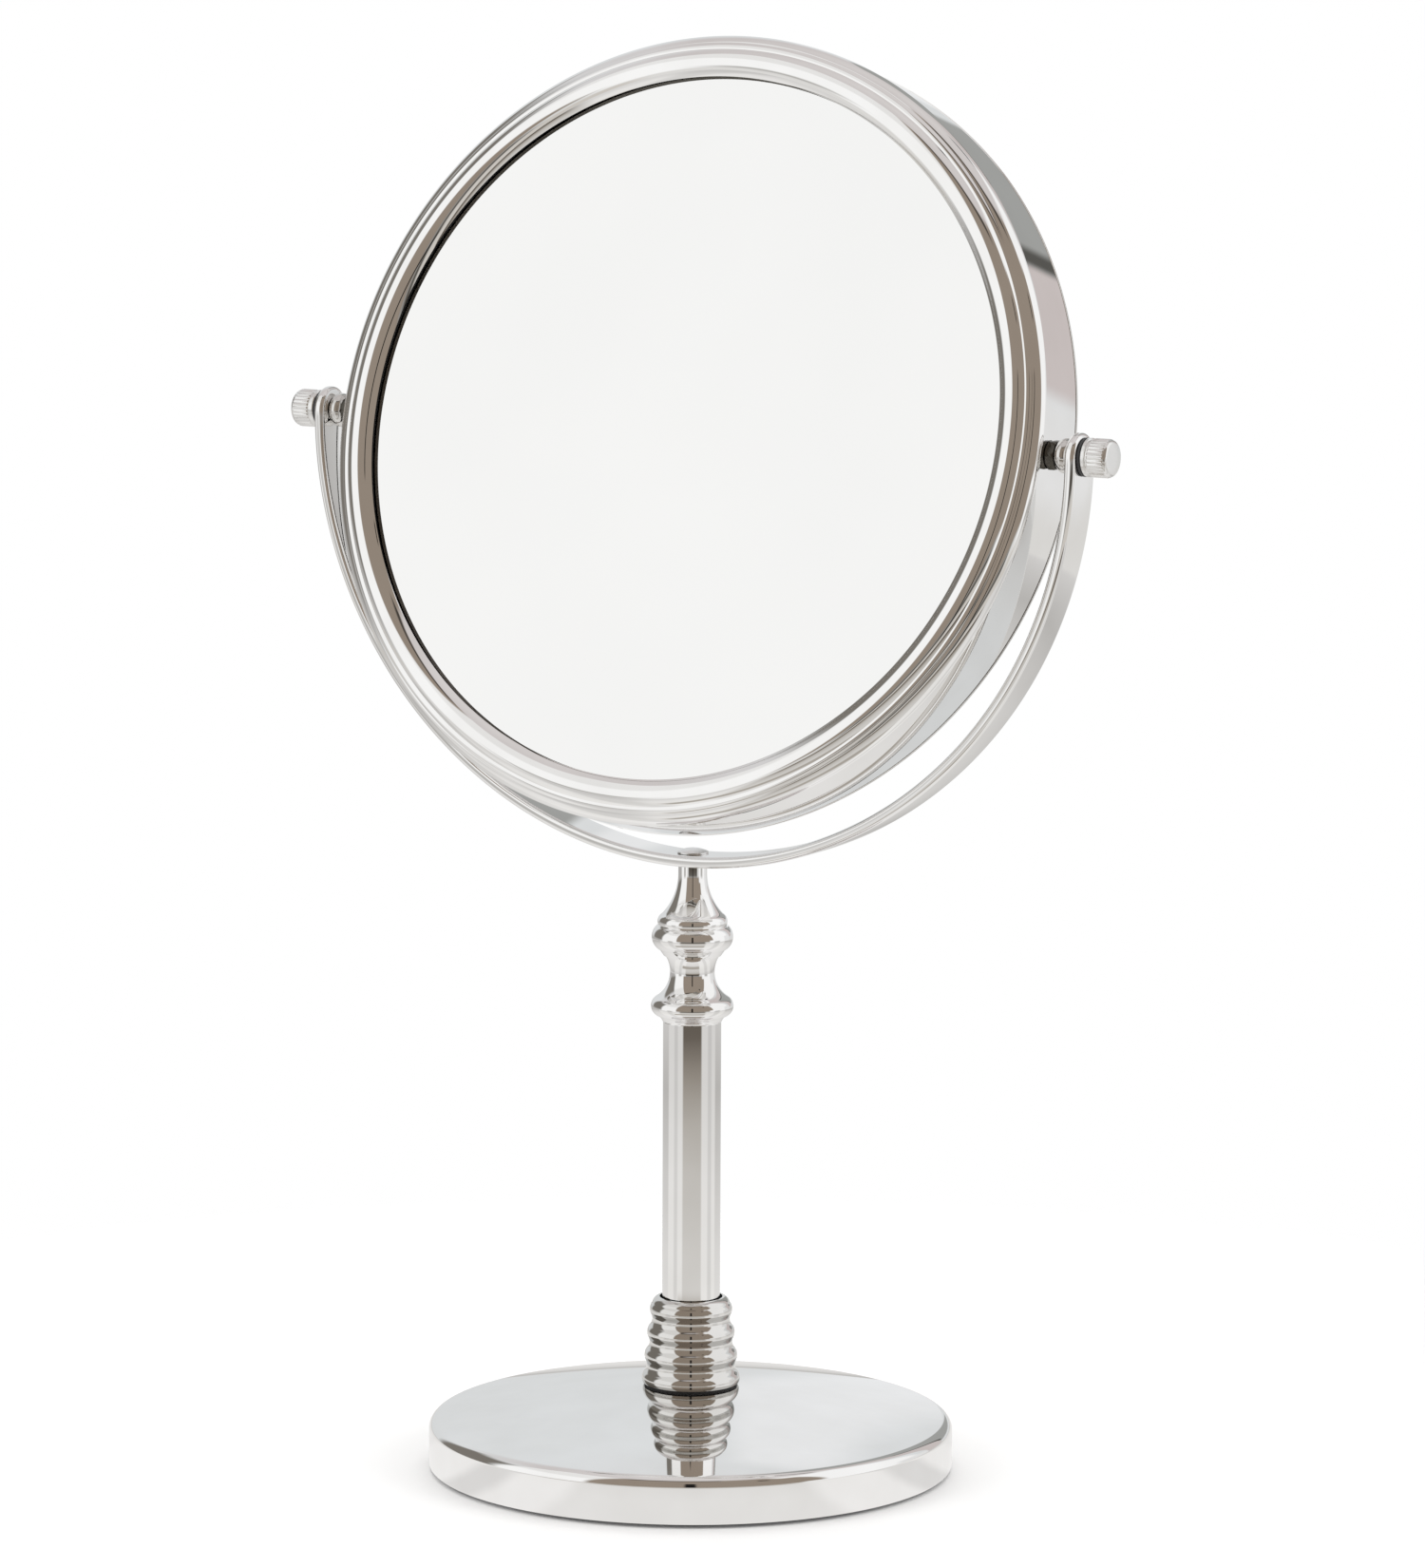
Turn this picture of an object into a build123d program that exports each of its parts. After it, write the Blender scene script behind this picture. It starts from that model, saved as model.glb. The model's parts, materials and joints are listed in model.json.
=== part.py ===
from build123d import *

import os
from math import cos, hypot, pi, radians, sin, sqrt, tan

# Pedestal shaving mirror with a telescopic stem, in millimetres.
# +Z is up, the origin is the middle of the underside, and the flat glass looks towards -Y.
# The stem is at its lowest and the mirror leans back, its resting pose.

# Main proportions
BASE_R = 68.0
PIVOT_Z = 270.0
HEAD_R = 102.3
HEAD_TILT = 16.0
STEM_TRAVEL = 50.0

# Clearances: radial fit, face to face, drilled holes, ends of travel and of blind holes
FIT = 0.05
GAP = 0.1
HOLE_CLEAR = 0.15
STEM_CLEAR = 1.0
BLIND_CLEAR = 0.5

# Base
PAD_R = 65.5
PAD_T = 1.6
SHELL_T = 1.0
SHELL_RIM_Z = 0.8
SHELL_SIDE_TOP = 10.2
SHELL_EDGE_R = 3.0
SHELL_SLOPE = 9.3
SEAT_LEDGE = 0.3
WEIGHT_R = 65.8
WEIGHT_T = 8.0
WEIGHT_BOSS_R = 12.0
WEIGHT_POCKET_R = 10.5
BOLT_R = 4.0
BOLT_CLEAR = 0.4
BOLT_HEAD_AF = 13.0
BOLT_HEAD_T = 5.0
BOLT_TIP_DROP = 1.5
BOLT_WASHER_R = 8.5
BOLT_WASHER_T = 1.5

# Tube, its foot plug and the ribbed collar on a thin gasket
TUBE_R = 7.5
TUBE_BORE_R = 6.3
TUBE_TOP_Z = 117.6
PLUG_L = 12.0
COLLAR_TOP_Z = 45.0
COLLAR_MOUTH_R = 8.15
COLLAR_MOUTH_DEPTH = 3.0
COLLAR_RIM_R = 8.9
COLLAR_RIM_ROUND = 0.3
COLLAR_FOOT_INSET = 0.3
RIB_COUNT = 4
RIB_PITCH = 6.07
TOP_RIB_Z = 41.9
TOP_RIB_R = 10.7
RIB_TAPER = 0.68
RIB_DEPTH = 0.95
COLLAR_GASKET_T = 0.6
COLLAR_GASKET_INSET = 0.6

# Rod and the parts that guide it
ROD_R = 4.0
ROD_FOOT_R = 3.0
ROD_SOCKET_DEPTH = 9.0
SLEEVE_L = 11.9
SLEEVE_SLIT = 1.0
SLEEVE_SCREW_R = 1.5
SLEEVE_SCREW_HEAD_R = 2.8
SLEEVE_SCREW_HEAD_T = 2.0
SLEEVE_SCREW_L = 8.0
SLEEVE_WASHER_R = 5.2
SLEEVE_WASHER_T = 0.8
BUSH_WALL = 0.75

# Lower finial: (radius, height over the tube's top), an arc as its middle and end
LOWER_LEDGE_R = 7.7
LOWER_FILLET = ((8.25, 0.9), (9.15, 1.5))
LOWER_BEAD = ((10.65, 3.8), (9.51, 6.1))
LOWER_COVE = ((5.75, 12.8), (6.97, 17.0))

# Upper finial: (radius, height over its foot), in the same form
UPPER_FOOT_R = 7.4
UPPER_FLARE = (8.45, 1.5)
UPPER_BEAD = ((10.5, 4.7), (9.25, 7.7))
RING_FOOT = (8.75, 7.8)
RING_BEAD = ((9.0, 9.1), (7.9, 10.8))
BELL_NECK = ((5.09, 15.0), (3.7, 21.3))

# Yoke of flat bar
YOKE_R = 111.7
YOKE_T = 3.0
YOKE_W = 12.0
YOKE_EDGE_R = 1.2
YOKE_SCREW_R = 2.0
YOKE_SCREW_HEAD_R = 4.0
YOKE_SCREW_HEAD_T = 1.3
YOKE_SCREW_EDGE_T = 0.4
YOKE_SCREW_L = 13.0

# Mirror head: radii from the head's axis, heights from its middle plane.
# The middle plane lies behind the pivot axis, so the studs sit near the band's front edge.
HEAD_OFFSET = 3.7
RIM_STEP = 0.2
BAND_T = 1.0
BAND_HALF_W = 8.6
GLASS_R = 95.6
GLASS_T = 3.0
GLASS_FACE = 10.5
REAR_GLASS_SAG = 4.5
SHEET_T = 0.8
SKIRT_DEPTH = 1.5
GASKET_INSET = 1.1
GASKET_W = 3.4
GASKET_T = 1.4
SPACER_W = 5.0
SPACER_REAR_GAP = 0.6

# Bezel: (radius, height over the glass) where its beads meet
BEZEL_LIP = (90.95, 1.6)
BEAD_CREST = (94.95, 3.45)
GROOVE_1 = (98.05, 1.9)
GROOVE_2 = (99.75, 1.3)
BEZEL_RIM = (HEAD_R, -1.7)
SMALL_BEAD_R = 2.1
RIM_BEAD_R = 3.6

# Pivot hardware, measured outwards along the pivot axis
STUD_R = 2.0
STUD_HEAD_R = 3.4
STUD_HEAD_T = 2.1
STUD_SLOT_W = 0.9
STUD_SLOT_DEPTH = 0.8
STUD_END = 117.3
NUT_AF = 7.0
NUT_T = 2.3
BALL_R = 4.4
BALL_END_R = 3.3
WASHER_R = 4.9
WASHER_T = 0.8
KNOB_R = 4.9
KNOB_END = 119.9
KNOB_FLANGE_T = 1.1
KNOB_NECK_R = 4.4
KNOB_NECK_T = 0.4
KNOB_CHAMFER = 0.2
KNOB_DOME_T = 1.05
KNOB_DOME_R = 3.85
KNOB_SHOULDER_R = 1.0
KNOB_CROWN = 0.15
KNURL_COUNT = 32
KNURL_DEPTH = 0.22


def outline(start, *legs):
    """Closed outline: a leg is an end point, or a pair of via point and end point for an arc."""
    edges = []
    here = start
    for leg in legs:
        if isinstance(leg[0], tuple):
            via, end = leg
            edges.append(ThreePointArc(here, via, end))
        else:
            end = leg
            edges.append(Line(here, end))
        here = end
    edges.append(Line(here, start))
    return edges


def turned(start, *legs):
    """Solid of revolution about Z from an outline of (radius, height) points."""
    return revolve(Plane.XZ * make_face(outline(start, *legs)), Axis.Z)


def raised(shape, height):
    """A point, or an arc's middle and end, lifted from its own foot to the part's frame."""
    if isinstance(shape[0], tuple):
        return tuple(raised(point, height) for point in shape)
    return (shape[0], shape[1] + height)


def sagitta(radius, reach):
    """Depth of an arc of this radius at a distance from its middle."""
    return radius - sqrt(radius**2 - reach**2)


def bulged(start, end, radius):
    """Leg for an arc from start to end that bulges left of the way, or right if negative."""
    run = end[0] - start[0]
    rise = end[1] - start[1]
    chord = hypot(run, rise)
    bulge = sagitta(abs(radius), chord / 2) * (1 if radius > 0 else -1) / chord
    via = ((start[0] + end[0]) / 2 - rise * bulge, (start[1] + end[1]) / 2 + run * bulge)
    return (via, end)


def tangent_radius(reach, drop):
    """Radius of an arc that leaves its crest level and falls by drop over reach."""
    return (reach**2 + drop**2) / (2 * drop)


def disc(radius, low, high):
    return Pos(0, 0, low) * extrude(Circle(radius), high - low)


def ring(inner, outer, low, high):
    return disc(outer, low, high) - disc(inner, low, high)


def hexagon(across_flats, low, high):
    flat = RegularPolygon(across_flats / 2, 6, major_radius=False)
    return Pos(0, 0, low) * extrude(flat, high - low)


# Heights of the stem's parts, from the base upwards
SHELL_TURN = radians(90 - SHELL_SLOPE)
SHELL_EDGE_CENTRE_R = BASE_R - SHELL_EDGE_R
CONE_R = SHELL_EDGE_CENTRE_R + SHELL_EDGE_R * cos(SHELL_TURN)
CONE_Z = SHELL_SIDE_TOP + SHELL_EDGE_R * sin(SHELL_TURN)
LOW_RIB_R = TOP_RIB_R + RIB_TAPER * (RIB_COUNT - 1)
SEAT_R = LOW_RIB_R + SEAT_LEDGE
SEAT_Z = CONE_Z + (CONE_R - SEAT_R) * tan(radians(SHELL_SLOPE))
COLLAR_FOOT_Z = SEAT_Z + COLLAR_GASKET_T
PLUG_TOP = SEAT_Z + PLUG_L
SLEEVE_HEAD_Z = PLUG_TOP + STEM_CLEAR
SLEEVE_WASHER_Z = SLEEVE_HEAD_Z + SLEEVE_SCREW_HEAD_T
SLEEVE_Z = SLEEVE_WASHER_Z + SLEEVE_WASHER_T + GAP
ROD_SHOULDER_Z = SLEEVE_Z + SLEEVE_L + GAP
SPIGOT_Z = ROD_SHOULDER_Z + STEM_TRAVEL + STEM_CLEAR
LOWER_FINIAL_TOP = TUBE_TOP_Z + LOWER_COVE[1][1]
UPPER_FINIAL_Z = LOWER_FINIAL_TOP + GAP
ROD_TOP_Z = UPPER_FINIAL_Z + ROD_SOCKET_DEPTH
YOKE_INNER_R = YOKE_R - YOKE_T
YOKE_FOOT_Z = PIVOT_Z - YOKE_R
YOKE_FLOOR_Z = PIVOT_Z - YOKE_INNER_R
YOKE_SCREW_TIP = YOKE_FLOOR_Z - YOKE_SCREW_L
BAND_R = HEAD_R - RIM_STEP


def base_shell():
    """Thin plated dome: side wall, rolled edge, shallow cone and a flat seat for the collar."""

    def edge_point(radius, angle):
        return (SHELL_EDGE_CENTRE_R + radius * cos(angle), SHELL_SIDE_TOP + radius * sin(angle))

    inner_edge_r = SHELL_EDGE_R - SHELL_T
    hole_r = BOLT_R + BOLT_CLEAR
    return turned(
        (BASE_R, SHELL_RIM_Z),
        (BASE_R, SHELL_SIDE_TOP),
        (edge_point(SHELL_EDGE_R, SHELL_TURN / 2), edge_point(SHELL_EDGE_R, SHELL_TURN)),
        (SEAT_R, SEAT_Z),
        (hole_r, SEAT_Z),
        (hole_r, SEAT_Z - SHELL_T),
        (SEAT_R, SEAT_Z - SHELL_T),
        edge_point(inner_edge_r, SHELL_TURN),
        (edge_point(inner_edge_r, SHELL_TURN / 2), (BASE_R - SHELL_T, SHELL_SIDE_TOP)),
        (BASE_R - SHELL_T, SHELL_RIM_Z),
    )


def base_weight():
    """Cast disc with a boss that backs the shell's seat and a pocket for the bolt head."""
    low = PAD_T + GAP
    pocket_top = low + BOLT_HEAD_T + BOLT_WASHER_T + 4 * GAP
    body = disc(WEIGHT_R, low, low + WEIGHT_T) + disc(WEIGHT_BOSS_R, low, SEAT_Z - SHELL_T - GAP)
    body -= disc(WEIGHT_POCKET_R, low, pocket_top)
    return body - disc(BOLT_R + BOLT_CLEAR, low, SEAT_Z)


def base_bolt():
    low = PAD_T + 2 * GAP
    head = hexagon(BOLT_HEAD_AF, low, low + BOLT_HEAD_T)
    return head + disc(BOLT_R, low, PLUG_TOP - BOLT_TIP_DROP)


def base_washer():
    low = PAD_T + 3 * GAP + BOLT_HEAD_T
    return ring(BOLT_R + HOLE_CLEAR, BOLT_WASHER_R, low, low + BOLT_WASHER_T)


def stem_collar():
    """Collar with rounded ribs that widen downwards, and an open mouth round the tube."""

    def point(level, inset):
        """Point on the ribs, counted down from the top one and fractional in between."""
        return (TOP_RIB_R + RIB_TAPER * level - inset, TOP_RIB_Z - RIB_PITCH * level)

    flank = RIB_DEPTH / 2
    legs = [(point(RIB_COUNT - 1, 0), point(RIB_COUNT - 1.25, flank))]
    for level in range(RIB_COUNT - 2, -1, -1):
        legs.append((point(level + 0.5, RIB_DEPTH), point(level + 0.25, flank)))
        legs.append((point(level, 0), point(level - 0.25, flank)))
    rim_via = (COLLAR_RIM_R + COLLAR_RIM_ROUND, COLLAR_TOP_Z - COLLAR_RIM_ROUND)
    mouth_floor = COLLAR_TOP_Z - COLLAR_MOUTH_DEPTH
    return turned(
        (TUBE_R + FIT, COLLAR_FOOT_Z),
        (LOW_RIB_R - COLLAR_FOOT_INSET, COLLAR_FOOT_Z),
        *legs,
        (rim_via, (COLLAR_RIM_R - COLLAR_RIM_ROUND, COLLAR_TOP_Z)),
        (COLLAR_MOUTH_R, COLLAR_TOP_Z),
        (COLLAR_MOUTH_R, mouth_floor),
        (TUBE_R + FIT, mouth_floor),
    )


def lower_finial():
    """Bead and cove on top of the tube, with a spigot down into its bore."""
    bore_r = ROD_R + 2 * FIT + BUSH_WALL
    spigot_r = TUBE_BORE_R - FIT
    return turned(
        (bore_r, SPIGOT_Z),
        (spigot_r, SPIGOT_Z),
        (spigot_r, TUBE_TOP_Z),
        (LOWER_LEDGE_R, TUBE_TOP_Z),
        raised(LOWER_FILLET, TUBE_TOP_Z),
        raised(LOWER_BEAD, TUBE_TOP_Z),
        raised(LOWER_COVE, TUBE_TOP_Z),
        (bore_r, LOWER_FINIAL_TOP),
    )


def upper_finial():
    """Bead, small ring and bell neck under the yoke, bored for the rod and the yoke's screw."""
    neck_r = BELL_NECK[1][0]
    body = turned(
        (0, UPPER_FINIAL_Z),
        (UPPER_FOOT_R, UPPER_FINIAL_Z),
        raised(UPPER_FLARE, UPPER_FINIAL_Z),
        raised(UPPER_BEAD, UPPER_FINIAL_Z),
        raised(RING_FOOT, UPPER_FINIAL_Z),
        raised(RING_BEAD, UPPER_FINIAL_Z),
        raised(BELL_NECK, UPPER_FINIAL_Z),
        (neck_r, YOKE_FOOT_Z),
        (0, YOKE_FOOT_Z),
    )
    body -= disc(ROD_R + FIT, UPPER_FINIAL_Z, ROD_TOP_Z + GAP)
    return body - disc(YOKE_SCREW_R + FIT, YOKE_SCREW_TIP - GAP, YOKE_FOOT_Z)


def inner_rod():
    """Rod with a thinner foot for the sleeve and a tapped hole for its screw."""
    foot_z = SLEEVE_WASHER_Z + SLEEVE_WASHER_T
    rod = disc(ROD_R, ROD_SHOULDER_Z, ROD_TOP_Z) + disc(ROD_FOOT_R, foot_z, ROD_SHOULDER_Z)
    return rod - disc(SLEEVE_SCREW_R + FIT, foot_z, SLEEVE_WASHER_Z + SLEEVE_SCREW_L + BLIND_CLEAR)


def friction_sleeve():
    """Split sleeve that grips the tube's bore and lets the rod turn in it."""
    high = SLEEVE_Z + SLEEVE_L
    sleeve = ring(ROD_FOOT_R + FIT, TUBE_BORE_R - FIT, SLEEVE_Z, high)
    slit = Pos(TUBE_BORE_R / 2, 0, (SLEEVE_Z + high) / 2) * Box(TUBE_BORE_R, SLEEVE_SLIT, SLEEVE_L)
    return sleeve - slit


def sleeve_washer():
    high = SLEEVE_WASHER_Z + SLEEVE_WASHER_T
    return ring(SLEEVE_SCREW_R + HOLE_CLEAR, SLEEVE_WASHER_R, SLEEVE_WASHER_Z, high)


def sleeve_screw():
    head = disc(SLEEVE_SCREW_HEAD_R, SLEEVE_HEAD_Z, SLEEVE_WASHER_Z)
    return head + disc(SLEEVE_SCREW_R, SLEEVE_WASHER_Z, SLEEVE_WASHER_Z + SLEEVE_SCREW_L)


def yoke():
    """Half hoop of round-edged bar with rounded ends, bored for the studs and the foot screw."""
    pivot = (0, 0, PIVOT_Z)
    section = RectangleRounded(YOKE_T, YOKE_W, YOKE_EDGE_R)
    half = section & Pos(0, YOKE_W / 2) * Rectangle(YOKE_T, YOKE_W)
    at_end = Pos(YOKE_R - YOKE_T / 2, 0, PIVOT_Z)
    hoop = revolve(at_end * section, Axis(pivot, (0, 1, 0)), 180)
    ear = revolve(at_end * half, Axis(pivot, (1, 0, 0)), 180)
    body = hoop + ear + mirror(ear, about=Plane.YZ)
    body -= Pos(pivot) * Rot(0, 90, 0) * Cylinder(STUD_R + FIT, 2 * KNOB_END)
    return body - disc(YOKE_SCREW_R + HOLE_CLEAR, YOKE_FOOT_Z - YOKE_T, YOKE_FLOOR_Z + YOKE_T)


def yoke_screw():
    """Low domed head on the yoke's inner face, shank down into the neck."""
    low = YOKE_FLOOR_Z + GAP
    top = low + YOKE_SCREW_HEAD_T
    edge = low + YOKE_SCREW_EDGE_T
    dome_r = tangent_radius(YOKE_SCREW_HEAD_R, top - edge)
    return turned(
        (0, YOKE_SCREW_TIP),
        (YOKE_SCREW_R, YOKE_SCREW_TIP),
        (YOKE_SCREW_R, low),
        (YOKE_SCREW_HEAD_R, low),
        (YOKE_SCREW_HEAD_R, edge),
        bulged((YOKE_SCREW_HEAD_R, edge), (0, top), -dome_r),
    )


def sheet_inside(point, crest, radius):
    """Point on the sheet's inner face, behind a point of the arc that leaves its crest level."""
    centre_z = crest[1] - radius
    share = 1 - SHEET_T / radius
    return (crest[0] + (point[0] - crest[0]) * share, centre_z + (point[1] - centre_z) * share)


def bezel():
    """Stamped ring: rolled main bead, two stepped beads, and a skirt inside the band."""
    lip = raised(BEZEL_LIP, GLASS_FACE)
    crest = raised(BEAD_CREST, GLASS_FACE)
    groove_1 = raised(GROOVE_1, GLASS_FACE)
    groove_2 = raised(GROOVE_2, GLASS_FACE)
    rim = raised(BEZEL_RIM, GLASS_FACE)
    roll_r = tangent_radius(crest[0] - lip[0], crest[1] - lip[1])
    side_r = tangent_radius(groove_1[0] - crest[0], crest[1] - groove_1[1])
    lip_under = sheet_inside(lip, crest, roll_r)
    crest_under = sheet_inside(crest, crest, roll_r)
    side_under = sheet_inside(groove_1, crest, side_r)
    skirt_r = BAND_R - BAND_T - FIT
    return turned(
        lip,
        bulged(lip, crest, roll_r),
        bulged(crest, groove_1, side_r),
        bulged(groove_1, groove_2, SMALL_BEAD_R),
        bulged(groove_2, rim, RIM_BEAD_R),
        (skirt_r, rim[1]),
        (skirt_r, rim[1] - SKIRT_DEPTH),
        (skirt_r - SHEET_T, rim[1] - SKIRT_DEPTH),
        (skirt_r - SHEET_T, rim[1]),
        (groove_2[0] - SHEET_T, groove_2[1] - SHEET_T),
        side_under,
        bulged(side_under, crest_under, SHEET_T - side_r),
        bulged(crest_under, lip_under, SHEET_T - roll_r),
    )


def frame_band():
    """Flat drum wall of the head, with a hole for each stud."""
    band = ring(BAND_R - BAND_T, BAND_R, -BAND_HALF_W, BAND_HALF_W)
    return band - Pos(0, 0, HEAD_OFFSET) * Rot(0, 90, 0) * Cylinder(STUD_R + HOLE_CLEAR, 2 * KNOB_END)


def flat_glass():
    return disc(GLASS_R, GLASS_FACE - GLASS_T, GLASS_FACE)


def magnifier():
    """Glass pressed to a shallow bowl, hollow side out."""
    bowl_r = tangent_radius(GLASS_R, REAR_GLASS_SAG)
    edge = (GLASS_R, GLASS_FACE)
    centre = (0, GLASS_FACE - REAR_GLASS_SAG)
    back_edge = raised(edge, -GLASS_T)
    back_centre = raised(centre, -GLASS_T)
    return turned(
        back_centre,
        bulged(back_centre, back_edge, -bowl_r),
        edge,
        bulged(edge, centre, bowl_r),
    )


def gasket():
    inner = BEZEL_LIP[0] + GASKET_INSET
    return ring(inner, inner + GASKET_W, GLASS_FACE, GLASS_FACE + GASKET_T)


def mirror_spacer():
    """Ring between the two glasses, shorter at the rear where the bowl's back stands in."""
    reach = GLASS_FACE - GLASS_T
    return ring(GLASS_R - SPACER_W, GLASS_R, SPACER_REAR_GAP - reach, reach)


def pivot_stud():
    """Slotted screw from inside the band, long enough to carry the thumb nut."""
    seat = BAND_R - BAND_T - 2 * GAP
    foot = seat - STUD_HEAD_T
    slot = Pos(0, 0, foot) * Box(2 * STUD_HEAD_R, STUD_SLOT_W, 2 * STUD_SLOT_DEPTH)
    return disc(STUD_HEAD_R, foot, seat) + disc(STUD_R, seat, STUD_END) - slot


def stud_nut():
    low = BAND_R + 2 * GAP
    return hexagon(NUT_AF, low, low + NUT_T) - disc(STUD_R + FIT, low, low + NUT_T)


def ball_spacer():
    """Ball with flat ends, threaded on the stud between the nut and the yoke."""
    low = BAND_R + NUT_T + 3 * GAP
    high = YOKE_INNER_R - 2 * GAP
    bore_r = STUD_R + FIT
    return turned(
        (bore_r, low),
        (BALL_END_R, low),
        ((BALL_R, (low + high) / 2), (BALL_END_R, high)),
        (bore_r, high),
    )


def knob_washer():
    return ring(STUD_R + HOLE_CLEAR, WASHER_R, YOKE_R + GAP, YOKE_R + GAP + WASHER_T)


def knob():
    """Thumb nut: smooth flange, fine straight knurl and a domed end, with a blind thread."""
    low = YOKE_R + WASHER_T + 2 * GAP
    neck = low + KNOB_FLANGE_T
    grip = neck + KNOB_NECK_T
    grip_end = KNOB_END - KNOB_DOME_T
    root_r = KNOB_R - KNURL_DEPTH
    shoulder = (root_r, grip_end)
    crown = (KNOB_DOME_R, KNOB_END - KNOB_CROWN)
    body = turned(
        (0, low),
        (KNOB_R - KNOB_CHAMFER, low),
        (KNOB_R, low + KNOB_CHAMFER),
        (KNOB_R, neck - KNOB_CHAMFER),
        (KNOB_NECK_R, neck),
        (KNOB_NECK_R, grip),
        (root_r, grip + KNOB_CHAMFER),
        shoulder,
        bulged(shoulder, crown, -KNOB_SHOULDER_R),
        (0, KNOB_END),
    )
    points = []
    for index in range(2 * KNURL_COUNT):
        angle = pi * index / KNURL_COUNT
        radius = KNOB_R if index % 2 else root_r
        points.append((radius * cos(angle), radius * sin(angle)))
    knurl_low = grip + 2 * KNOB_CHAMFER
    knurl_high = grip_end - KNOB_CHAMFER
    teeth = Pos(0, 0, knurl_low) * extrude(Polygon(*points, align=None), knurl_high - knurl_low)
    return body + teeth - disc(STUD_R + FIT, low, STUD_END + BLIND_CLEAR)


HEAD = Location((0, 0, PIVOT_Z), (90 - HEAD_TILT, 0, 0)) * Pos(0, 0, -HEAD_OFFSET)
REAR = Rot(180, 0, 0)
SIDES = {
    "left": Location((0, 0, PIVOT_Z), (0, -90, 0)),
    "right": Location((0, 0, PIVOT_Z), (0, 90, 0)),
}

pieces = {
    "foot_pad": disc(PAD_R, 0, PAD_T),
    "base_shell": base_shell(),
    "base_weight": base_weight(),
    "base_bolt": base_bolt(),
    "base_washer": base_washer(),
    "tube_foot_plug": ring(BOLT_R + FIT, TUBE_BORE_R - FIT, SEAT_Z, PLUG_TOP),
    "collar_gasket": ring(TUBE_R + FIT, LOW_RIB_R - COLLAR_GASKET_INSET, SEAT_Z, COLLAR_FOOT_Z),
    "stem_collar": stem_collar(),
    "stem_tube": ring(TUBE_BORE_R, TUBE_R, SEAT_Z, TUBE_TOP_Z),
    "lower_finial": lower_finial(),
    "guide_bush": ring(ROD_R + FIT, ROD_R + FIT + BUSH_WALL, SPIGOT_Z, LOWER_FINIAL_TOP - 2 * GAP),
    "friction_sleeve": friction_sleeve(),
    "inner_rod": inner_rod(),
    "sleeve_washer": sleeve_washer(),
    "sleeve_screw": sleeve_screw(),
    "upper_finial": upper_finial(),
    "yoke": yoke(),
    "yoke_screw": yoke_screw(),
    "frame_band": HEAD * frame_band(),
    "front_bezel": HEAD * bezel(),
    "rear_bezel": HEAD * REAR * bezel(),
    "front_glass": HEAD * flat_glass(),
    "rear_glass": HEAD * REAR * magnifier(),
    "front_gasket": HEAD * gasket(),
    "rear_gasket": HEAD * REAR * gasket(),
    "mirror_spacer": HEAD * mirror_spacer(),
}
for side, place in SIDES.items():
    pieces[f"{side}_pivot_stud"] = place * pivot_stud()
    pieces[f"{side}_stud_nut"] = place * stud_nut()
    pieces[f"{side}_ball_spacer"] = place * ball_spacer()
    pieces[f"{side}_knob_washer"] = place * knob_washer()
    pieces[f"{side}_knob"] = place * knob()

os.makedirs("parts", exist_ok=True)
for name, piece in pieces.items():
    export_step(piece, f"parts/{name}.step")
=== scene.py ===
"""Pedestal shaving mirror: polished meshes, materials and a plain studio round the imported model."""
import json
from math import acos, atan2, ceil, cos, hypot, pi, radians, sin, sqrt

import bmesh
import bpy
from mathutils import Matrix, Vector


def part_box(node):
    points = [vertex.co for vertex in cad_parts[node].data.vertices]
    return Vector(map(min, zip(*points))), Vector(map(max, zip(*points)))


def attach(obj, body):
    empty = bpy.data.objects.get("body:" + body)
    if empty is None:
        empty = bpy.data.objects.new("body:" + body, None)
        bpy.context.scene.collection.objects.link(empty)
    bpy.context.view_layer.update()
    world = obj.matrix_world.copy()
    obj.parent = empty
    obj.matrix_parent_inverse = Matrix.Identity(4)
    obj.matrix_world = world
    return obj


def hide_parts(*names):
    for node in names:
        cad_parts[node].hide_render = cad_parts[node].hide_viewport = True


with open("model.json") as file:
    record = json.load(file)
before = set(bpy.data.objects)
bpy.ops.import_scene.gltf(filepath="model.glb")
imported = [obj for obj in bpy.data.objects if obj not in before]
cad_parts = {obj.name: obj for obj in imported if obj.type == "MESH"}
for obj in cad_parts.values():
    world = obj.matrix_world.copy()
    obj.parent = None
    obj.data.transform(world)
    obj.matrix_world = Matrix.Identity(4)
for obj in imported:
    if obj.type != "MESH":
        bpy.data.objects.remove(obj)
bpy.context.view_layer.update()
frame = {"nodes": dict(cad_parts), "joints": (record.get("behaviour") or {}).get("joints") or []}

# Lengths in this script are millimetres, turned into metres when a mesh is made
MM = 0.001
ARC_FLATNESS = 0.002
ARC_STEPS = (radians(2.5), radians(10))
GUARD_SHARE = 0.25
SHARP_ANGLE = radians(28)
TINY = 0.01
HEAD_SEGMENTS = 512
FINE = 256
ROUND = 128

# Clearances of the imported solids: close fit, gap between pieces, free hole, end of a blind hole
FIT = 0.05
GAP = 0.1
HOLE_CLEAR = 0.15
BLIND_CLEAR = 0.5

# Camera at the photograph's viewpoint
CAMERA_DISTANCE = 1969.3
CAMERA_AZIMUTH = 29.88
CAMERA_HEIGHT = 475.0
CAMERA_PAN = -0.145
CAMERA_PITCH = 8.54
CAMERA_ROLL = 0.25
FOCAL_PIXELS = 8157.8
FRAME_LONG_SIDE = 1650
SENSOR_WIDTH = 36.0


# Meshes


def extent(node):
    """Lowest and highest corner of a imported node, in millimetres."""
    low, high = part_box(node)
    return low / MM, high / MM


def sagitta(radius, reach):
    return radius - sqrt(radius**2 - reach**2)


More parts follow.
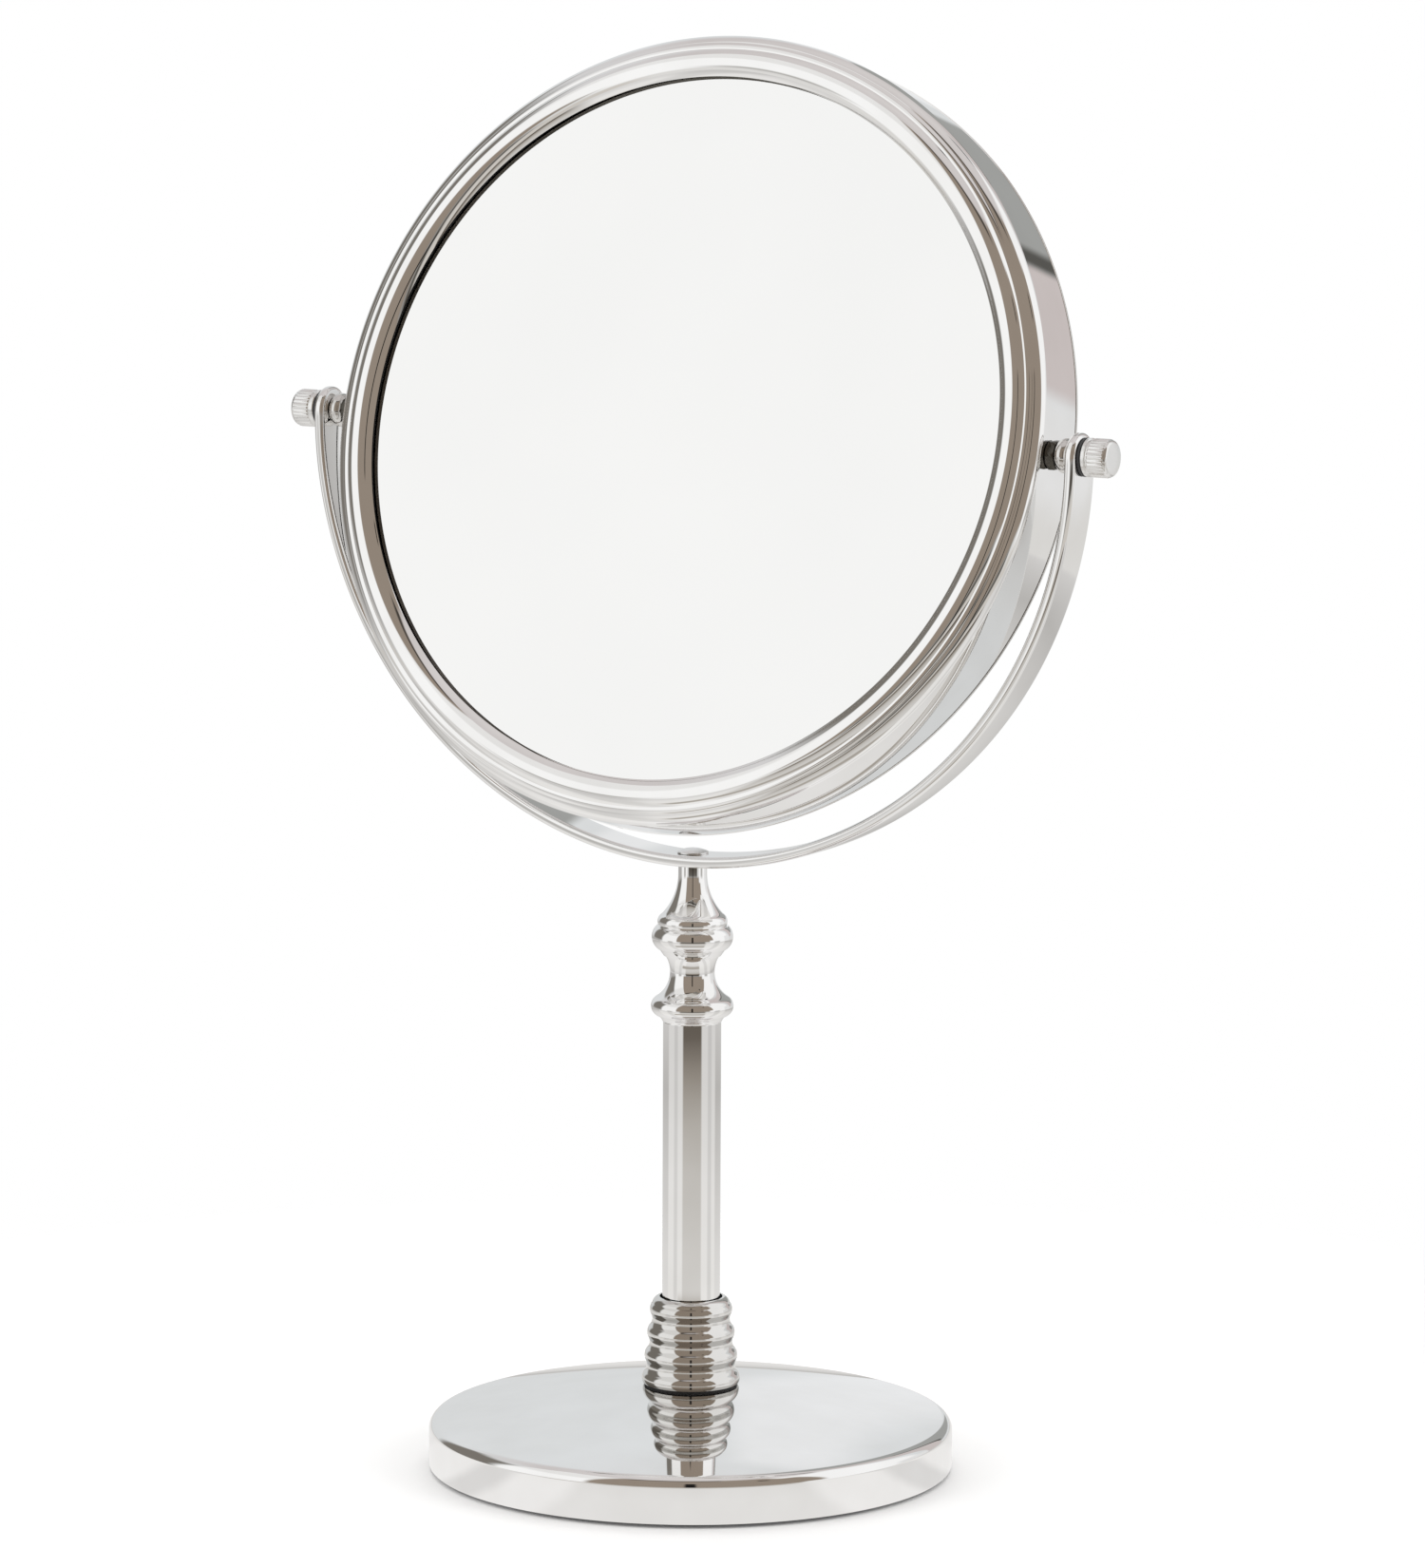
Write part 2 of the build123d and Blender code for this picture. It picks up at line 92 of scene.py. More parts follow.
def bulged(start, end, radius):
    """Leg for an arc from start to end that bulges left of the way, or right if negative."""
    run = end[0] - start[0]
    rise = end[1] - start[1]
    chord = hypot(run, rise)
    bulge = sagitta(abs(radius), chord / 2) * (1 if radius > 0 else -1) / chord
    via = ((start[0] + end[0]) / 2 - rise * bulge, (start[1] + end[1]) / 2 + run * bulge)
    return (via, end)


def tangent_radius(reach, drop):
    """Radius of an arc that leaves its crest level and falls by drop over reach."""
    return (reach**2 + drop**2) / (2 * drop)


def raised(shape, height):
    """A point, or a group of points, lifted by a height."""
    if isinstance(shape[0], tuple):
        return tuple(raised(point, height) for point in shape)
    return (shape[0], shape[1] + height)


def arc(start, via, end):
    """Points along the arc from start through via to end, without the start."""
    ax, ay = via[0] - start[0], via[1] - start[1]
    bx, by = end[0] - start[0], end[1] - start[1]
    cross = 2 * (ax * by - ay * bx)
    a2, b2 = ax * ax + ay * ay, bx * bx + by * by
    centre = (start[0] + (by * a2 - ay * b2) / cross, start[1] + (ax * b2 - bx * a2) / cross)
    first = atan2(start[1] - centre[1], start[0] - centre[0])
    turn = atan2(end[1] - centre[1], end[0] - centre[0]) - first
    turn = turn % (2 * pi) if cross > 0 else -(-turn % (2 * pi))
    radius = hypot(start[0] - centre[0], start[1] - centre[1])
    finest, coarsest = ARC_STEPS
    step = min(max(2 * acos(1 - ARC_FLATNESS / radius), finest), coarsest)
    steps = max(2, ceil(abs(turn) / step))
    angles = [first + turn * i / steps for i in range(1, steps + 1)]
    return [(centre[0] + radius * cos(a), centre[1] + radius * sin(a)) for a in angles]


def trace(start, *legs):
    """Outline points: a leg is an end point, or a pair of via point and end point for an arc."""
    points = [start]
    for leg in legs:
        if isinstance(leg[0], tuple):
            points += arc(points[-1], *leg)
        else:
            points.append(leg)
    return points


def rounded(points, radius, *corners):
    """The same outline with these corners rounded, and guard points that keep the flats flat."""
    result = []
    for index, point in enumerate(points):
        if index not in corners:
            result.append(point)
            continue
        before = Vector(points[index - 1])
        after = Vector(points[(index + 1) % len(points)])
        here = Vector(point)
        back = (before - here).normalized()
        ahead = (after - here).normalized()
        half = back.angle(ahead) / 2
        reach = radius / (sin(half) / cos(half))
        middle = here + (back + ahead).normalized() * (radius / sin(half) - radius)
        start = here + back * reach
        end = here + ahead * reach
        guard = radius * GUARD_SHARE
        result += [tuple(start + back * guard), tuple(start)]
        result += arc(tuple(start), tuple(middle), tuple(end))
        result.append(tuple(end + ahead * guard))
    return result


def finished(name, verts, faces, place=Matrix()):
    """Mesh object in metres with outward faces, smooth except at real edges."""
    mesh = bpy.data.meshes.new(name)
    mesh.from_pydata([place @ (Vector(v) * MM) for v in verts], [], faces)
    bm = bmesh.new()
    bm.from_mesh(mesh)
    bmesh.ops.recalc_face_normals(bm, faces=bm.faces)
    for edge in bm.edges:
        edge.smooth = edge.calc_face_angle(0) < SHARP_ANGLE
    for face in bm.faces:
        face.smooth = True
    bm.to_mesh(mesh)
    bm.free()
    obj = bpy.data.objects.new(name, mesh)
    bpy.context.scene.collection.objects.link(obj)
    return obj


def lathe(name, outline, place=Matrix(), segments=ROUND, ripple=None):
    """Closed solid of revolution about Z. ripple(point, angle) gives an offset to the radius."""
    verts, faces, rings = [], [], []
    for point in outline:
        radius, height = point
        if radius < TINY:
            rings.append([len(verts)] * segments)
            verts.append((0, 0, height))
            continue
        rings.append(list(range(len(verts), len(verts) + segments)))
        for i in range(segments):
            angle = 2 * pi * i / segments
            reach = radius + (ripple(point, angle) if ripple else 0)
            verts.append((reach * cos(angle), reach * sin(angle), height))
    for this, following in zip(rings, rings[1:] + rings[:1]):
        for i in range(segments):
            j = (i + 1) % segments
            corners = list(dict.fromkeys((this[i], this[j], following[j], following[i])))
            if len(corners) > 2:
                faces.append(corners)
    return finished(name, verts, faces, place)


def fit(obj, body, slot, node, *materials):
    """Puts a finished piece on its body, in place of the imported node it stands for."""
    for material in materials:
        obj.data.materials.append(material)
    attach(obj, body)
    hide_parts(node)


# Materials


class Nodes:
    """Short calls for making and linking the nodes of one tree."""

    def __init__(self, tree):
        self.tree = tree
        tree.nodes.clear()

    def add(self, kind, inputs=(), **settings):
        node = self.tree.nodes.new(kind)
        for key, value in settings.items():
            setattr(node, key, value)
        for key, value in dict(inputs).items():
            self.put(node.inputs[key], value)
        return node

    def put(self, socket, value):
        if isinstance(value, bpy.types.NodeSocket):
            self.tree.links.new(value, socket)
        else:
            socket.default_value = value

    def math(self, operation, *values):
        node = self.add("ShaderNodeMath", dict(enumerate(values)), operation=operation)
        return node.outputs[0]

    def spread(self, value, low, high, to_low, to_high, smooth=False):
        """value carried from one range to another, clamped."""
        inputs = {"Value": value, 1: low, 2: high, 3: to_low, 4: to_high}
        shape = "SMOOTHSTEP" if smooth else "LINEAR"
        return self.add("ShaderNodeMapRange", inputs, interpolation_type=shape).outputs[0]

    def mix(self, share, first, second):
        node = self.add("ShaderNodeMix", {0: share, 6: first, 7: second}, data_type="RGBA")
        return node.outputs[2]

    def noise(self, vector, scale, detail):
        inputs = {"Vector": vector, "Scale": scale, "Detail": detail}
        return self.add("ShaderNodeTexNoise", inputs).outputs[0]

    def along(self, vector, axis):
        node = self.add("ShaderNodeVectorMath", {0: vector, 1: axis}, operation="DOT_PRODUCT")
        return node.outputs["Value"]

    def bearing(self, vector):
        """Degrees round the stem from the photograph's viewpoint, positive to its right."""
        azimuth = radians(CAMERA_AZIMUTH)
        ahead = self.along(vector, (sin(azimuth), -cos(azimuth), 0))
        right = self.along(vector, (cos(azimuth), sin(azimuth), 0))
        return self.math("DEGREES", self.math("ARCTAN2", right, ahead))

    def between(self, value, low, high, soft):
        rise = self.spread(value, low - soft / 2, low + soft / 2, 0.0, 1.0, smooth=True)
        fall = self.spread(value, high - soft / 2, high + soft / 2, 1.0, 0.0, smooth=True)
        return self.math("MULTIPLY", rise, fall)

    def ramp(self, share, stops):
        """Colour from a list of (position, colour) stops."""
        node = self.add("ShaderNodeValToRGB", {"Fac": share})
        elements = node.color_ramp.elements
        while len(elements) < len(stops):
            elements.new(0.5)
        for element, (position, colour) in zip(elements, stops):
            element.position = position
            element.color = rgb(*colour)
        return node.outputs[0]


def rgb(red, green, blue):
    return (red, green, blue, 1.0)


CLOUD_DETAIL = 3.0
GRAIN_DETAIL = 4.0
GRAIN_SHARE = 0.4
GRAIN_DEPTH = 0.0002
NOISE_SPAN = (0.3, 0.7)


def surface(name, dark, light, rough, metallic=0.0, cloud=60.0, grain=900.0, bump=0.05):
    """Principled material: clouds shift colour and roughness, and a fine grain gives the bump."""
    material = bpy.data.materials.new(name)
    material.use_nodes = True
    nodes = Nodes(material.node_tree)
    place = nodes.add("ShaderNodeTexCoord").outputs["Object"]
    drift = nodes.noise(place, cloud, CLOUD_DETAIL)
    fine = nodes.noise(place, grain, GRAIN_DETAIL)
    cloudy = nodes.math("MULTIPLY", drift, 1 - GRAIN_SHARE)
    worn = nodes.math("MULTIPLY_ADD", fine, GRAIN_SHARE, cloudy)
    shade = nodes.spread(drift, *NOISE_SPAN, 0.0, 1.0)
    inputs = {
        "Base Color": nodes.mix(shade, rgb(*dark), rgb(*light)),
        "Roughness": nodes.spread(worn, *NOISE_SPAN, *rough),
        "Metallic": metallic,
    }
    if bump:
        relief = {"Height": fine, "Strength": bump, "Distance": GRAIN_DEPTH}
        inputs["Normal"] = nodes.add("ShaderNodeBump", relief).outputs[0]
    shader = nodes.add("ShaderNodeBsdfPrincipled", inputs)
    nodes.add("ShaderNodeOutputMaterial", {"Surface": shader.outputs[0]})
    return material


CHROME = surface(
    "polished_chrome", (0.9, 0.893, 0.885), (0.95, 0.946, 0.942), (0.012, 0.03),
    metallic=1.0, grain=300.0, bump=0.0,
)
# Rougher chrome for the collar and the balls: the higher roughness is the finish, the darker colour
# is painted shade.
SOFT_CHROME_PAINTED_SHADE = surface(
    "soft_chrome_painted_shade", (0.72, 0.71, 0.69), (0.8, 0.79, 0.775), (0.03, 0.06),
    metallic=1.0, grain=300.0, bump=0.0,
)
# Dark chrome for the collar's faces that look down: painted shade under the ribs.
UNDERSIDE_PAINTED_SHADE = surface(
    "underside_painted_shade", (0.42, 0.41, 0.39), (0.5, 0.49, 0.47), (0.04, 0.08),
    metallic=1.0, grain=300.0, bump=0.0,
)
SATIN_CHROME = surface(
    "satin_chrome", (0.86, 0.855, 0.85), (0.93, 0.925, 0.92), (0.28, 0.4),
    metallic=1.0, grain=600.0, bump=0.04,
)
# Bezels' undersides: the high roughness is the finish, the near-black colour is painted shade between
# bezel and glass, seen in the mirror.
DULL_CHROME_PAINTED_SHADE = surface(
    "dull_chrome_painted_shade", (0.1, 0.095, 0.085), (0.17, 0.16, 0.145), (0.3, 0.5), metallic=1.0, bump=0.1,
)
KNURL_CHROME = surface(
    "knurled_chrome", (0.84, 0.835, 0.825), (0.92, 0.915, 0.905), (0.12, 0.24),
    metallic=1.0, bump=0.08,
)
MIRROR = surface(
    "silvered_glass", (0.925, 0.925, 0.92), (0.945, 0.944, 0.938), (0.0, 0.012),
    metallic=1.0, cloud=14.0, bump=0.0,
)
# Near-black finish for the collar's mouth: painted shade in the gap round the tube.
RECESS_PAINTED_SHADE = surface(
    "recess_painted_shade", (0.012, 0.014, 0.014), (0.03, 0.033, 0.033), (0.45, 0.7), metallic=0.4,
)
STEEL = surface(
    "zinc_plated_steel", (0.42, 0.42, 0.41), (0.6, 0.6, 0.58), (0.22, 0.42),
    metallic=1.0, bump=0.12,
)
DARK_STEEL = surface(
    "oiled_steel", (0.085, 0.08, 0.07), (0.17, 0.16, 0.14), (0.25, 0.45), metallic=1.0, bump=0.12,
)
RUBBER = surface(
    "black_rubber", (0.012, 0.012, 0.013), (0.03, 0.03, 0.031), (0.6, 0.85), bump=0.35,
)
BLACK_NYLON = surface(
    "black_nylon", (0.02, 0.02, 0.021), (0.045, 0.045, 0.047), (0.35, 0.55), bump=0.15,
)
WHITE_NYLON = surface(
    "white_nylon", (0.68, 0.67, 0.62), (0.78, 0.77, 0.73), (0.4, 0.6), bump=0.15,
)
IRON = surface(
    "lacquered_iron", (0.02, 0.02, 0.02), (0.06, 0.06, 0.062), (0.35, 0.65),
    metallic=0.3, cloud=120.0, grain=500.0, bump=0.6,
)
PLASTIC = surface(
    "grey_moulding", (0.26, 0.26, 0.27), (0.34, 0.34, 0.35), (0.45, 0.65), bump=0.2,
)

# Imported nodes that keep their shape, most of them hidden inside, only get their finish
INNER_FINISH = {
    "base_weight": IRON,
    "base_bolt": STEEL,
    "base_washer": STEEL,
    "tube_foot_plug": STEEL,
    "collar_gasket": RUBBER,
    "guide_bush": WHITE_NYLON,
    "friction_sleeve": WHITE_NYLON,
    "sleeve_washer": STEEL,
    "sleeve_screw": STEEL,
    "mirror_spacer": PLASTIC,
    "left_pivot_stud": STEEL,
    "right_pivot_stud": STEEL,
}
for node, material in INNER_FINISH.items():
    mesh = frame["nodes"][node].data
    mesh.materials.clear()
    mesh.materials.append(material)


# Base and stem

SHELL_T = 1.0
SHELL_EDGE_R = 3.0
SHELL_SLOPE = radians(9.3)
SHELL_SIDE_TOP = 10.2
SHELL_HOLE_R = 4.4
SEAT_R = 13.04
PAD_ROUND = 0.3


def base_dome():
    """Side wall with a rolled hem, rounded edge, shallow cone and the collar's seat."""
    low, high = extent("base_shell")
    radius = high.x
    turn = pi / 2 - SHELL_SLOPE
    centre_r = radius - SHELL_EDGE_R

    def edge(offset, angle):
        return (centre_r + offset * cos(angle), SHELL_SIDE_TOP + offset * sin(angle))

    inner = SHELL_EDGE_R - SHELL_T
    hem = SHELL_T / 2
    return lathe(
        "base_dome",
        trace(
            (radius - SHELL_T, low.z + hem),
            ((radius - hem, low.z), (radius, low.z + hem)),
            (radius, SHELL_SIDE_TOP),
            (edge(SHELL_EDGE_R, turn / 2), edge(SHELL_EDGE_R, turn)),
            (SEAT_R, high.z),
            (SHELL_HOLE_R, high.z),
            (SHELL_HOLE_R, high.z - SHELL_T),
            (SEAT_R, high.z - SHELL_T),
            edge(inner, turn),
            (edge(inner, turn / 2), (radius - SHELL_T, SHELL_SIDE_TOP)),
        ),
        segments=FINE,
    )


def foot_disc():
    low, high = extent("foot_pad")
    points = [(0, low.z), (high.x, low.z), (high.x, high.z), (0, high.z)]
    return lathe("foot_disc", rounded(points, PAD_ROUND, 1, 2), segments=FINE)


RIB_COUNT = 4
RIB_PITCH = 6.07
TOP_RIB_R = 10.7
TOP_RIB_DROP = 3.1
RIB_TAPER = 0.68
RIB_DEPTH = 0.95
MOUTH_R = 8.15
MOUTH_DEPTH = 3.0
RIM_R = 8.9
RIM_ROUND = 0.3
FOOT_INSET = 0.3
# Collar faces that look further down than this take the painted shade
PAINTED_SHADE_BELOW = -0.22


def ribbed_collar():
    """Rounded ribs that widen downwards, darker below and in the open mouth round the tube, both
    painted shade.
    """
    low, high = extent("stem_collar")
    bore_r = extent("stem_tube")[1].x + FIT
    top_rib = high.z - TOP_RIB_DROP

    def point(level, inset):
        """Point at a level, counted in pitches below the top rib, inset from the ribs' crests."""
        return (TOP_RIB_R + RIB_TAPER * level - inset, top_rib - RIB_PITCH * level)

    flank = RIB_DEPTH / 2
    legs = [(point(RIB_COUNT - 1, 0), point(RIB_COUNT - 1.25, flank))]
    for level in range(RIB_COUNT - 2, -1, -1):
        legs.append((point(level + 0.5, RIB_DEPTH), point(level + 0.25, flank)))
        legs.append((point(level, 0), point(level - 0.25, flank)))
    foot_r = TOP_RIB_R + RIB_TAPER * (RIB_COUNT - 1) - FOOT_INSET
    collar = lathe(
        "ribbed_collar",
        trace(
            (bore_r, low.z),
            (foot_r, low.z),
            *legs,
            ((RIM_R + RIM_ROUND, high.z - RIM_ROUND), (RIM_R - RIM_ROUND, high.z)),
            (MOUTH_R, high.z),
            (MOUTH_R, high.z - MOUTH_DEPTH),
            (bore_r, high.z - MOUTH_DEPTH),
        ),
        segments=FINE,
    )
    # Painted shade: the mouth takes the near-black finish, faces that look down take the dark chrome.
    for face in collar.data.polygons:
        reach = hypot(face.center.x, face.center.y) / MM
        height = face.center.z / MM
        inside = reach < MOUTH_R + TINY and height > high.z - MOUTH_DEPTH - TINY
        face.material_index = 1 if inside else 2 if face.normal.z < PAINTED_SHADE_BELOW else 0
    return collar


TUBE_BORE_R = 6.3
TUBE_ROUND = 0.25


def tube():
    low, high = extent("stem_tube")
    points = [(TUBE_BORE_R, low.z), (high.x, low.z), (high.x, high.z), (TUBE_BORE_R, high.z)]
    return lathe("plain_tube", rounded(points, TUBE_ROUND, 2), segments=FINE)


LOWER_BORE_R = 4.85
LOWER_LEDGE_R = 7.7
LOWER_FILLET = ((8.25, 0.9), (9.15, 1.5))
LOWER_BEAD = ((10.65, 3.8), (9.51, 6.1))
LOWER_COVE = ((5.75, 12.8), (6.97, 17.0))
UPPER_FOOT_R = 7.4
UPPER_FLARE = (8.45, 1.5)
UPPER_BEAD = ((10.5, 4.7), (9.25, 7.7))
RING_FOOT = (8.75, 7.8)
RING_BEAD = ((9.0, 9.1), (7.9, 10.8))
BELL_NECK = ((5.09, 15.0), (3.7, 21.3))
SOCKET_R = 4.05
ROD_FOOT_R = 3.0


def tube_finial():
    """Bead and cove on the tube's top, with its spigot."""
    low, high = extent("lower_finial")
    foot = extent("stem_tube")[1].z
    spigot_r = TUBE_BORE_R - FIT
    return lathe(
        "tube_finial",
        trace(
            (LOWER_BORE_R, low.z),
            (spigot_r, low.z),
            (spigot_r, foot),
            (LOWER_LEDGE_R, foot),
            raised(LOWER_FILLET, foot),
            raised(LOWER_BEAD, foot),
            raised(LOWER_COVE, foot),
            (LOWER_BORE_R, high.z),
        ),
        segments=FINE,
    )


def neck_finial():
    """Bead, small ring and bell neck that carry the yoke, with the rod's socket."""
    low, high = extent("upper_finial")
    foot = low.z
    socket_top = extent("inner_rod")[1].z + GAP
    return lathe(
        "neck_finial",
        trace(
            (SOCKET_R, foot),
            (UPPER_FOOT_R, foot),
            raised(UPPER_FLARE, foot),
            raised(UPPER_BEAD, foot),
            raised(RING_FOOT, foot),
            raised(RING_BEAD, foot),
            raised(BELL_NECK, foot),
            (BELL_NECK[1][0], high.z),
            (0, high.z),
            (0, socket_top),
            (SOCKET_R, socket_top),
        ),
        segments=FINE,
    )


def sliding_rod():
    low, high = extent("inner_rod")
    shoulder = extent("friction_sleeve")[1].z + GAP
    foot = [(0, low.z), (ROD_FOOT_R, low.z), (ROD_FOOT_R, shoulder)]
    return lathe("sliding_rod", foot + [(high.x, shoulder), (high.x, high.z), (0, high.z)])


# Yoke and mirror head

PIVOT_Z = next(j for j in frame["joints"] if j["name"] == "mirror_tilt")["pos_m"][2] / MM
HEAD_TILT = 16.0
YOKE_T = 3.0
YOKE_EDGE_R = 1.2
YOKE_STATIONS = 240
YOKE_END_STEPS = 28
YOKE_SCREW_R = 2.0
YOKE_SCREW_HEAD_T = 1.3
YOKE_SCREW_EDGE_T = 0.4
HEAD_OFFSET = 3.7
HEAD = (
    Matrix.Translation((0, 0, PIVOT_Z * MM))
    @ Matrix.Rotation(radians(90 - HEAD_TILT), 4, "X")
    @ Matrix.Translation((0, 0, -HEAD_OFFSET * MM))
)
REAR = HEAD @ Matrix.Rotation(pi, 4, "X")
SIDES = {
    "left": Matrix.Translation((0, 0, PIVOT_Z * MM)) @ Matrix.Rotation(-pi / 2, 4, "Y"),
    "right": Matrix.Translation((0, 0, PIVOT_Z * MM)) @ Matrix.Rotation(pi / 2, 4, "Y"),
}


def yoke_bar():
    """Flat bar with round edges and ends, bent to a half hoop below the pivots."""
    high = extent("yoke")[1]
    half_w = high.y
    middle_r = high.x - YOKE_T / 2
    length = pi * middle_r

    def bent(along, across, out):
        """Point of the straight bar, with its ends beyond the pivots left straight."""
        turn = min(max(along / length, 0), 1) * pi
        over = max(-along, along - length, 0)
        reach = middle_r + out
        return (-reach * cos(turn), across, PIVOT_Z - reach * sin(turn) + over)

    def outline(inset, out):
        """Closed loop round the bar at one depth of its rounded edge."""
        width = half_w - inset
        steps = [length * i / YOKE_STATIONS for i in range(YOKE_STATIONS + 1)]
        sweep = [pi * i / YOKE_END_STEPS for i in range(1, YOKE_END_STEPS)]
        points = [(s, -width) for s in steps]
        points += [(length + width * sin(a), -width * cos(a)) for a in sweep]
        points += [(s, width) for s in reversed(steps)]
        points += [(-width * sin(a), width * cos(a)) for a in sweep]
        return [bent(s, w, out) for s, w in points]

    flat = YOKE_T / 2 - YOKE_EDGE_R
    round_in = YOKE_EDGE_R * (1 - sin(pi / 4))
    round_out = flat + YOKE_EDGE_R * cos(pi / 4)
    section = trace(
        (YOKE_EDGE_R, YOKE_T / 2),
        ((round_in, round_out), (0, flat)),
        (0, -flat),
        ((round_in, -round_out), (YOKE_EDGE_R, -YOKE_T / 2)),
    )
    verts, faces = [], []
    for inset, out in section:
        verts += outline(inset, out)
    count = len(verts) // len(section)
    for row in range(len(section) - 1):
        for i in range(count):
            j = (i + 1) % count
            base, above = row * count, (row + 1) * count
            faces.append((base + i, base + j, above + j, above + i))
    for base in (0, (len(section) - 1) * count):
        turn_end = YOKE_STATIONS + YOKE_END_STEPS
        far = turn_end + YOKE_STATIONS
        for i in range(YOKE_STATIONS):
            faces.append((base + i, base + i + 1, base + far - i - 1, base + far - i))
        faces.append(tuple(base + i for i in range(YOKE_STATIONS, turn_end + 1)))
        faces.append(tuple(base + i for i in range(far, count)) + (base,))
    return finished("yoke_bar", verts, faces)


def yoke_screw_head():
    """Low domed head on its shank."""
    low, high = extent("yoke_screw")
    head_r = high.x
    under = high.z - YOKE_SCREW_HEAD_T
    edge = under + YOKE_SCREW_EDGE_T
    dome_r = tangent_radius(head_r, high.z - edge)
    return lathe(
        "yoke_screw_head",
        trace(
            (0, low.z),
            (YOKE_SCREW_R, low.z),
            (YOKE_SCREW_R, under),
            (head_r, under),
            (head_r, edge),
            bulged((head_r, edge), (0, high.z), -dome_r),
        ),
    )


HEAD_R = 102.3
BAND_INSET = 0.2
BAND_R = HEAD_R - BAND_INSET
BAND_T = 1.0
BAND_HALF_W = 8.6
BAND_ROUND = 0.25
GLASS_R = 95.6
GLASS_T = 3.0
GLASS_FACE = 10.5
REAR_GLASS_SAG = 4.5
BOWL_STEPS = 32
SHEET_T = 0.8
SKIRT_DEPTH = 1.5
BEZEL_LIP = (90.95, 1.6)
BEAD_CREST = (94.95, 3.45)
GROOVE_1 = (98.05, 1.9)
GROOVE_2 = (99.75, 1.3)
BEZEL_RIM = (HEAD_R, -1.7)
SMALL_BEAD_R = 2.1
RIM_BEAD_R = 3.6
GASKET_INSET = 1.1
GASKET_W = 3.4
GASKET_T = 1.4
GASKET_ROUND = 0.3


def drum():
    """Flat wall between the two bezels."""
    inner, low, high = BAND_R - BAND_T, -BAND_HALF_W, BAND_HALF_W
    points = [(inner, low), (BAND_R, low), (BAND_R, high), (inner, high)]
    return lathe("head_drum", rounded(points, BAND_ROUND, 1, 2), HEAD, HEAD_SEGMENTS)


def sheet_inside(point, crest, radius):
    """Point on the sheet's inner face, behind a point of the arc that leaves its crest level."""
    centre_z = crest[1] - radius
    share = 1 - SHEET_T / radius
    return (crest[0] + (point[0] - crest[0]) * share, centre_z + (point[1] - centre_z) * share)


def bezel_ring(name, place):
    """Rolled main bead, two stepped beads and the skirt inside the drum."""
    corners = (BEZEL_LIP, BEAD_CREST, GROOVE_1, GROOVE_2, BEZEL_RIM)
    lip, crest, groove_1, groove_2, rim = raised(corners, GLASS_FACE)
    roll_r = tangent_radius(crest[0] - lip[0], crest[1] - lip[1])
    side_r = tangent_radius(groove_1[0] - crest[0], crest[1] - groove_1[1])
    lip_under = sheet_inside(lip, crest, roll_r)
    crest_under = sheet_inside(crest, crest, roll_r)
    side_under = sheet_inside(groove_1, crest, side_r)
    skirt_r = BAND_R - BAND_T - FIT
    polished = trace(
        lip,
        bulged(lip, crest, roll_r),
        bulged(crest, groove_1, side_r),
        bulged(groove_1, groove_2, SMALL_BEAD_R),
        bulged(groove_2, rim, RIM_BEAD_R),
    )
    underside = trace(
        (skirt_r, rim[1]),
        (skirt_r, rim[1] - SKIRT_DEPTH),
        (skirt_r - SHEET_T, rim[1] - SKIRT_DEPTH),
        (skirt_r - SHEET_T, rim[1]),
        (groove_2[0] - SHEET_T, groove_2[1] - SHEET_T),
        side_under,
        bulged(side_under, crest_under, SHEET_T - side_r),
        bulged(crest_under, lip_under, SHEET_T - roll_r),
    )
    bezel = lathe(name, polished + underside, place, HEAD_SEGMENTS)
    # The underside takes the dark chrome: painted shade between bezel and glass.
    for face in bezel.data.polygons:
        face.material_index = 0 if face.index // HEAD_SEGMENTS < len(polished) else 1
    return bezel


def flat_glass():
    low, high = GLASS_FACE - GLASS_T, GLASS_FACE
    points = [(0, low), (GLASS_R, low), (GLASS_R, high), (0, high)]
    return lathe("flat_mirror", points, HEAD, HEAD_SEGMENTS)


def bowl_glass():
    """Magnifying glass, hollow side out."""
    bowl_r = tangent_radius(GLASS_R, REAR_GLASS_SAG)
    edge = (GLASS_R, GLASS_FACE)
    centre = (0, GLASS_FACE - REAR_GLASS_SAG)

    def bowl(drop):
        radii = [GLASS_R * i / BOWL_STEPS for i in range(BOWL_STEPS + 1)]
        return [(r, centre[1] - drop + sagitta(bowl_r, r)) for r in radii]

    outline = bowl(GLASS_T) + [edge] + bowl(0)[-2::-1]
    return lathe("magnifying_mirror", outline, REAR, HEAD_SEGMENTS)


def gasket_ring(name, place):
    inner = BEZEL_LIP[0] + GASKET_INSET
    low, high = GLASS_FACE, GLASS_FACE + GASKET_T
    points = [(inner, low), (inner + GASKET_W, low), (inner + GASKET_W, high), (inner, high)]
    return lathe(name, rounded(points, GASKET_ROUND, 2, 3), place, HEAD_SEGMENTS)


# Pivot hardware, along each side's outward axis

YOKE_R = 111.7
NUT_AF = 7.0
NUT_T = 2.3
NUT_LOW = BAND_R + 2 * GAP
NUT_CHAMFER = 0.35
NUT_END_SHARE = 0.88
NUT_STEPS = 8
BALL_LOW = BAND_R + NUT_T + 3 * GAP
BALL_HIGH = YOKE_R - YOKE_T - 2 * GAP
BALL_R = 4.4
BALL_END_R = 3.3
STUD_R = 2.0
WASHER_R = 4.9
WASHER_T = 0.8
WASHER_ROUND = 0.2
KNOB_R = 4.9
KNOB_LOW = YOKE_R + WASHER_T + 2 * GAP
KNOB_END = 119.9
KNOB_NECK_R = 4.4
KNOB_FLANGE_T = 1.1
KNOB_NECK_T = 0.4
KNOB_DOME_T = 1.05
KNOB_DOME_R = 3.85
KNOB_SHOULDER_R = 1.0
KNOB_CROWN = 0.15
KNOB_CHAMFER = 0.2
KNURL_COUNT = 32
KNURL_DEPTH = 0.22
KNURL_STEPS = 8


